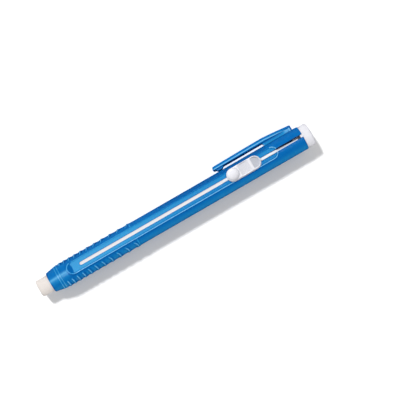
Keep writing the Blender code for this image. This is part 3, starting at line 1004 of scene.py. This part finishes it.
def make_eraser(material):
    bm = bmesh.new()
    profile = [(ERASER_TIP + 0.03, 0.4), (ERASER_TIP + 0.01, 1.4)]
    profile += [(ERASER_TIP, 2.3), (ERASER_TIP + 0.02, 2.8)]
    corner = (ERASER_TIP + 0.02 + TIP_CORNER, ERASER_R - TIP_CORNER)
    for angle in quarter(6):
        profile.append((corner[0] - TIP_CORNER * math.cos(angle), corner[1] + TIP_CORNER * math.sin(angle)))
    profile += [(x, ERASER_R) for x in (*spaced(-4.4, 0.4, 0.3), 6.0, 20.0, 40.0, 60.0, 75.0)]
    profile += [(ERASER_END - 0.2, ERASER_R), (ERASER_END, ERASER_R - 0.2)]
    lathe(bm, profile, 72)
    wear_tip(bm)
    eraser = make_object(bm, "eraser_stick_vinyl", material, 50.0)
    add_tint(eraser, eraser_tint)
    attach(eraser, "stick")
    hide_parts("eraser_stick")


def carriage_section(x, radius, top, inner=None, steps=40):
    """Points round a flat-topped circle, or round an open jaw when an inner radius is given."""
    edge = math.acos(top / radius)
    turns = [edge + (2.0 * math.pi - 2.0 * edge) * i / steps for i in range(steps + 1)]
    points = [(x, radius * math.sin(turn), radius * math.cos(turn)) for turn in turns]
    if inner is not None:
        points += [(x, inner * math.sin(turn), inner * math.cos(turn)) for turn in reversed(turns)]
    return points


def add_jaws(bm):
    """The open ring that holds the stick's rear end."""
    ends = ((JAWS[0], 0.1), (JAWS[0] + 0.05, 0.04), (JAWS[0] + 0.15, 0.0), (JAWS[1], 0.0))
    add_body(bm, [carriage_section(x, CARRIAGE_R - inset, JAW_TOP, JAW_BORE_R + inset) for x, inset in ends])


def add_carriage_block(bm):
    """The solid block under the thumb slide, with three grooves round it."""
    front, rear = BLOCK
    places = [(front, 0.12), (front + 0.04, 0.04), (front + 0.12, 0.0)]
    places += [(rear - 0.12, 0.0), (rear - 0.04, 0.04), (rear, 0.12)]
    for groove in GROOVES:
        places += [(groove - 0.3, 0.0), (groove - 0.2, GROOVE_DEPTH)]
        places += [(groove + 0.2, GROOVE_DEPTH), (groove + 0.3, 0.0)]
    add_body(bm, [carriage_section(x, CARRIAGE_R - inset, BLOCK_TOP - inset) for x, inset in sorted(places)])


def add_key(bm):
    """The strip in the slot: it sinks and gets narrower on its clip side towards the rear."""
    front, rear = KEY
    rows = []
    for x in (front, front + 0.1, *spaced(85.0, 98.0, 1.0), *spaced(98.0, 109.9, 0.8), rear - 0.1, rear):
        fall = max((x - KEY_TAPER_START) / (rear - KEY_TAPER_START), 0.0)
        top = KEY_TOP - 0.25 * fall
        bottom = KEY_UNDERSIDE
        far = KEY_HALF_WIDTH - 0.45 * fall
        near = -KEY_HALF_WIDTH
        soft = 2.0 * KEY_CORNER if x in KEY else KEY_CORNER
        outline = [(far - soft, top), (far, top - soft), (far, bottom + soft), (far - soft, bottom)]
        outline += [(near + soft, bottom), (near, bottom + soft), (near, top - soft), (near + soft, top)]
        rows.append([(x, y, z) for y, z in outline])
    add_body(bm, rows)


def carriage_tint(x, y, z):
    """Deep in shade where the open slot shows the tail."""
    return -1.0 if x > BLOCK[1] + 0.1 and z < KEY_UNDERSIDE - 0.1 else 0.0


def make_carriage(material):
    """The carriage inside the barrel: jaws round the stick, a solid block, a cross tail and a key."""
    bm = bmesh.new()
    add_jaws(bm)
    add_carriage_block(bm)
    across = (-KEY_HALF_WIDTH, KEY_HALF_WIDTH)
    soft_block(bm, (76.95, 84.9), across, (JAW_BORE_R, KEY_TOP), 0.08)
    soft_block(bm, TAIL, (-0.5, 0.5), (-3.8, 1.7))
    soft_block(bm, TAIL, (-3.8, 3.8), (-0.5, 0.5))
    for post in POSTS:
        soft_block(bm, post, across, (3.2, 5.0), 0.1)
    add_key(bm)
    carriage = make_object(bm, "eraser_carrier", material)
    add_tint(carriage, carriage_tint)
    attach(carriage, "slider")
    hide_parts("eraser_carriage")


# ---------------------------------------------------------------- stage

WORLD_LIGHT = 0.45
BACKDROP = 0.98
TILT = math.radians(10.5)  # between the slot's direction and the camera's
TURN = math.radians(29.93)  # the pen's slope across the picture
BACK = PEN.to_3x3().normalized() @ Vector((0.0, -math.sin(TILT), math.cos(TILT)))
ACROSS = PEN.to_3x3().normalized() @ Vector((0.0, math.cos(TILT), math.sin(TILT)))
ALONG = Vector((1.0, 0.0, 0.0))
RIGHT = math.cos(TURN) * ALONG - math.sin(TURN) * ACROSS
UP = math.sin(TURN) * ALONG + math.cos(TURN) * ACROSS
AIM_BELOW_AXIS = 1.08  # mm
AIM_FROM_NOSE = 65.9
CAMERA_FROM_NOSE = 53.0
CAMERA_DISTANCE = 652.0
LENS = 151.6
SENSOR = 36.0


def make_camera():
    """A long lens over the pen, tilted from the slot's direction and aimed nearer the rear than it stands."""
    nose = at(0.0, 0.0, 0.0) - AIM_BELOW_AXIS * MM * ACROSS
    target = nose + AIM_FROM_NOSE * MM * ALONG
    place = nose + CAMERA_FROM_NOSE * MM * ALONG + CAMERA_DISTANCE * MM * BACK
    back = (place - target).normalized()
    right = (RIGHT - RIGHT.dot(back) * back).normalized()
    up = back.cross(right)
    data = bpy.data.cameras.new("camera")
    data.lens = LENS
    data.sensor_width = SENSOR
    data.clip_start, data.clip_end = 0.01, 20.0
    camera = bpy.data.objects.new("camera", data)
    camera.matrix_world = Matrix.Translation(place) @ Matrix((right, up, back)).transposed().to_4x4()
    bpy.context.scene.collection.objects.link(camera)
    bpy.context.scene.camera = camera


def add_light(name, data, direction, receivers):
    """A light that shines from a direction."""
    light = bpy.data.objects.new(name, data)
    light.rotation_mode = "QUATERNION"
    light.rotation_quaternion = direction.to_track_quat("Z", "Y")
    light.light_linking.receiver_collection = receivers
    bpy.context.scene.collection.objects.link(light)
    return light


def add_sun(name, direction, radiance, angle, receivers=None, blockers=None, gloss=False):
    """A soft light from a direction, either for diffuse light or seen only as a highlight."""
    data = bpy.data.lights.new(name, "SUN")
    data.energy = radiance * math.pi
    data.angle = math.radians(angle)
    light = add_light(name, data, direction.normalized(), receivers)
    light.visible_glossy = gloss
    light.visible_diffuse = not gloss
    light.light_linking.blocker_collection = blockers


def add_panel(name, place, side, radiance, receivers):
    """A square softbox facing the pen, seen only as a highlight."""
    data = bpy.data.lights.new(name, "AREA")
    data.size = side
    data.energy = radiance * math.pi * side * side
    light = add_light(name, data, BACK, receivers)
    light.location = place
    light.visible_camera = False
    light.visible_diffuse = False


def group(name, *members):
    """A collection of scene objects, for a light to shine on or be blocked by."""
    made = bpy.data.collections.new(name)
    for member in members:
        made.objects.link(bpy.data.objects[member])
    return made


def make_lights():
    """A soft key for most pieces, one from the left for the slide, two for the floor, two highlights."""
    front = group("lit_in_front", "barrel_shell", "clip_strap", "eraser_stick_vinyl", "end_cap_shell")
    slide = group("lit_from_the_left", "thumb_slide_button", "eraser_carrier")
    floor = group("floor_only", "floor")
    casts = group("casts_shadow", "barrel_shell", "eraser_stick_vinyl", "thumb_slide_button", "end_cap_shell")
    nose = group("shines_at_the_nose", "barrel_shell")
    above = Vector((0.0, 0.0, 1.0))
    level_up = Vector((UP.x, UP.y, 0.0)).normalized()
    level_right = Vector((RIGHT.x, RIGHT.y, 0.0)).normalized()
    from_far_left = 0.8 * above + 0.65 * level_up - 0.55 * level_right
    before_nose = at(-20.0, 0.0, 0.0) + 0.12 * (BACK + 0.18 * ACROSS)
    add_sun("front_key", BACK + 0.1 * UP, 0.62, 45.0, front)
    add_sun("left_key", BACK + 0.62 * UP - 0.62 * RIGHT, 0.72, 16.0, slide)
    add_sun("floor_key", above, 0.12, 60.0, floor, floor)
    add_sun("floor_side", from_far_left, 1.15, 7.0, floor, casts)
    add_sun("top_highlight", BACK, 0.05, 30.0, gloss=True)
    add_panel("nose_highlight", before_nose, 0.09, 4.5, nose)


def floor_paper():
    n = Nodes("floor_paper")
    texture = n.add("ShaderNodeTexNoise")
    texture.inputs["Scale"].default_value = 900.0
    colour = n.mix(texture.outputs["Fac"], (0.93, 0.93, 0.935), (0.95, 0.95, 0.95))
    return n.set(Base_Color=colour, Roughness=0.9, Specular_IOR_Level=0.1)


def make_floor():
    """A wide round floor just under the pen, in rings that grow outwards."""
    bm = bmesh.new()
    turns = [math.pi * i / 32 for i in range(64)]
    radii = [0.02 * 1.16**i for i in range(40)]
    loops = skin(bm, [[(radius * math.cos(a), radius * math.sin(a), 0.0) for a in turns] for radius in radii])
    bm.faces.new(loops[0][::-1])
    mesh = bpy.data.meshes.new("floor")
    bm.to_mesh(mesh)
    bm.free()
    mesh.materials.append(floor_paper())
    floor = bpy.data.objects.new("floor", mesh)
    floor.location.z = min(CAD_BOX[0].z, at(0.0, 0.0, 0.0).z - BARREL_R * MM) - 0.05 * MM
    floor.visible_glossy = False
    bpy.context.scene.collection.objects.link(floor)


def make_world():
    """A pale surrounding that lights softly and makes no reflections."""
    world = bpy.data.worlds.new("studio")
    world.use_nodes = True
    tree = world.node_tree
    background = tree.nodes["Background"]
    seen = tree.nodes.new("ShaderNodeLightPath")
    strength = tree.nodes.new("ShaderNodeMapRange")
    strength.inputs["To Min"].default_value = WORLD_LIGHT
    strength.inputs["To Max"].default_value = BACKDROP
    tree.links.new(seen.outputs["Is Camera Ray"], strength.inputs["Value"])
    tree.links.new(strength.outputs["Result"], background.inputs["Strength"])
    background.inputs["Color"].default_value = (1.0, 1.0, 1.0, 1.0)
    bpy.context.scene.world = world
    world.cycles_visibility.glossy = False


def main():
    bpy.context.scene.view_settings.view_transform = "Standard"
    blue = blue_plastic()
    white = white_plastic("white_plastic_look", (0.83, 0.825, 0.87), (0.8, 0.8, 0.855))
    cool = white_plastic("cool_white_plastic_look", (0.86, 0.875, 0.915), (0.83, 0.845, 0.89))
    make_barrel(blue)
    make_clip(blue)
    make_cap(white)
    make_slide(white)
    make_eraser(eraser_vinyl())
    make_carriage(cool)
    make_camera()
    make_floor()
    make_world()
    make_lights()


main()
